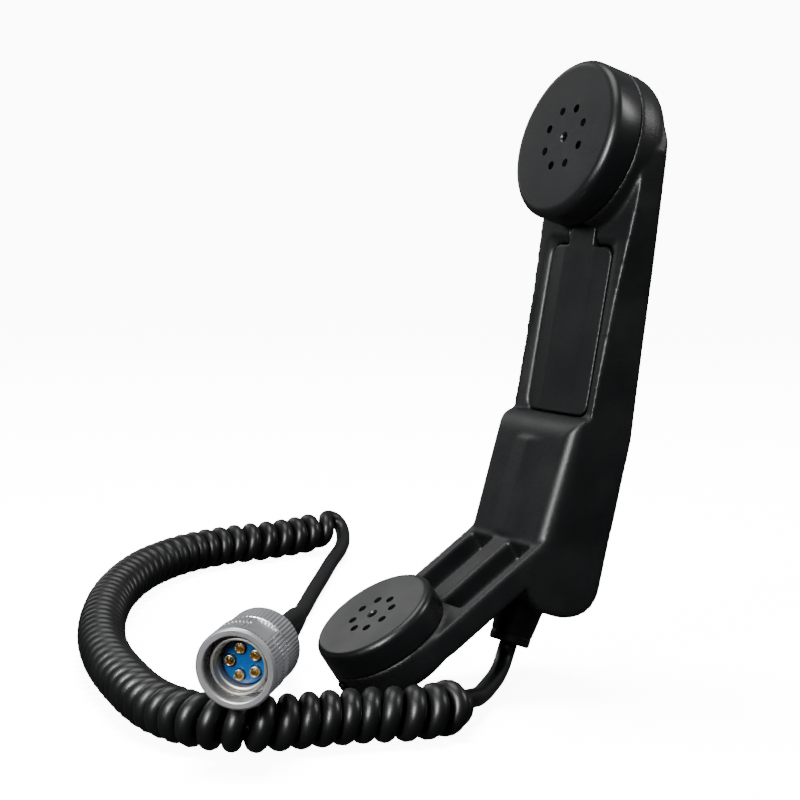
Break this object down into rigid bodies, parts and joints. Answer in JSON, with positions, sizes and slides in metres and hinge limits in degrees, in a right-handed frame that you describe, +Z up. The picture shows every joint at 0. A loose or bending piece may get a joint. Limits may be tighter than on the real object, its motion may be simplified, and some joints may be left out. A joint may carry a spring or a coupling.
{
  "type": "radio hand microphone",
  "caption": "Telephone-style radio handset with screw-on ear and mouth caps, a press-to-talk bar, and a curly cord ending in a bayonet audio plug.",
  "frame": {"origin": "middle of the hand grip, inside the handle, on the handset's plane of symmetry; the surface that the mouthpiece and the cord rest on is 122 mm below it", "axes": "+Z up along the standing handset, -Y to the front that the caps face, X across the handset, the cord lying to both sides"},
  "size_m": [0.3466, 0.2255, 0.2131],
  "materials": {
    "black_moulding": "black moulded plastic, fine satin grain",
    "black_cap_moulding": "black moulded plastic, fine satin grain",
    "black_bar_moulding": "black moulded plastic, smooth",
    "black_rubber": "black rubber, matte",
    "capsule_can": "pressed and passivated metal can",
    "spring_brass": "stamped spring brass",
    "black_oxide_steel": "black oxide steel",
    "screw_steel": "turned stainless",
    "stamped_steel": "crimped steel",
    "switch_plastic": "dark grey plastic",
    "plunger_plastic": "dark red plastic",
    "boot_rubber": "black moulded rubber",
    "cord_jacket": "black cord jacket, satin",
    "satin_alloy": "turned and knurled, satin anodised",
    "grey_plate": "turned, grey nickel plate",
    "blue_insert": "moulded blue plastic",
    "gold_contact": "turned, gold flashed",
    "nut_plastic": "black moulded plastic, ribbed"
  },
  "bodies": {
    "handset": {"handset_body": "black_moulding", "ear_cap": "black_cap_moulding", "mouth_cap": "black_cap_moulding", "ear_gasket": "black_rubber", "ear_capsule": "capsule_can", "ear_terminal_left": "spring_brass", "ear_terminal_right": "spring_brass", "mouth_gasket": "black_rubber", "mouth_capsule": "capsule_can", "mouth_terminal_left": "spring_brass", "mouth_terminal_right": "spring_brass", "lock_screw": "black_oxide_steel", "ptt_pin": "screw_steel", "switch_seal": "black_rubber", "switch_plate": "stamped_steel", "switch_body": "switch_plastic", "plate_screw_1": "screw_steel", "plate_screw_2": "screw_steel", "plate_screw_3": "screw_steel", "plate_screw_4": "screw_steel", "cord_boot": "boot_rubber", "cord_end": "cord_jacket", "cord_clamp": "stamped_steel", "plug_shell": "grey_plate", "plug_insert": "blue_insert", "plug_contact_1": "gold_contact", "plug_contact_2": "gold_contact", "plug_contact_3": "gold_contact", "plug_contact_4": "gold_contact", "plug_contact_5": "gold_contact", "plug_spacer": "black_rubber", "plug_backshell": "satin_alloy", "plug_nut": "nut_plastic", "plug_boot": "boot_rubber", "cord_lead": "cord_jacket", "cord_coil": "cord_jacket", "cord_tail": "cord_jacket"},
    "ptt_bar": {"ptt_bar": "black_bar_moulding"},
    "plunger": {"switch_plunger": "plunger_plastic"},
    "coupling_ring": {"coupling_ring": "satin_alloy"}
  },
  "joints": [
    {"name": "ptt_press", "type": "hinge", "parent": "handset", "child": "ptt_bar", "pos_m": [0, 0.00141, 0.03117], "axis": [1, 0, 0], "range_deg": [0, 2.5], "stiffness_Nm_per_rad": 2, "springref_deg": -5.73},
    {"name": "plunger_slide", "type": "slide", "parent": "handset", "child": "plunger", "axis": [0, 0.9823, -0.1874], "range_m": [0, 0.0018]},
    {"name": "ring_turn", "type": "hinge", "parent": "handset", "child": "coupling_ring", "pos_m": [0.0579, -0.163, -0.0926], "axis": [0.7123, -0.6975, -0.0785], "range_deg": [0, 60]}
  ],
  "couplings": [
    {"joint": "plunger_slide", "follows": "ptt_press", "m_per_rad": 0.038}
  ]
}
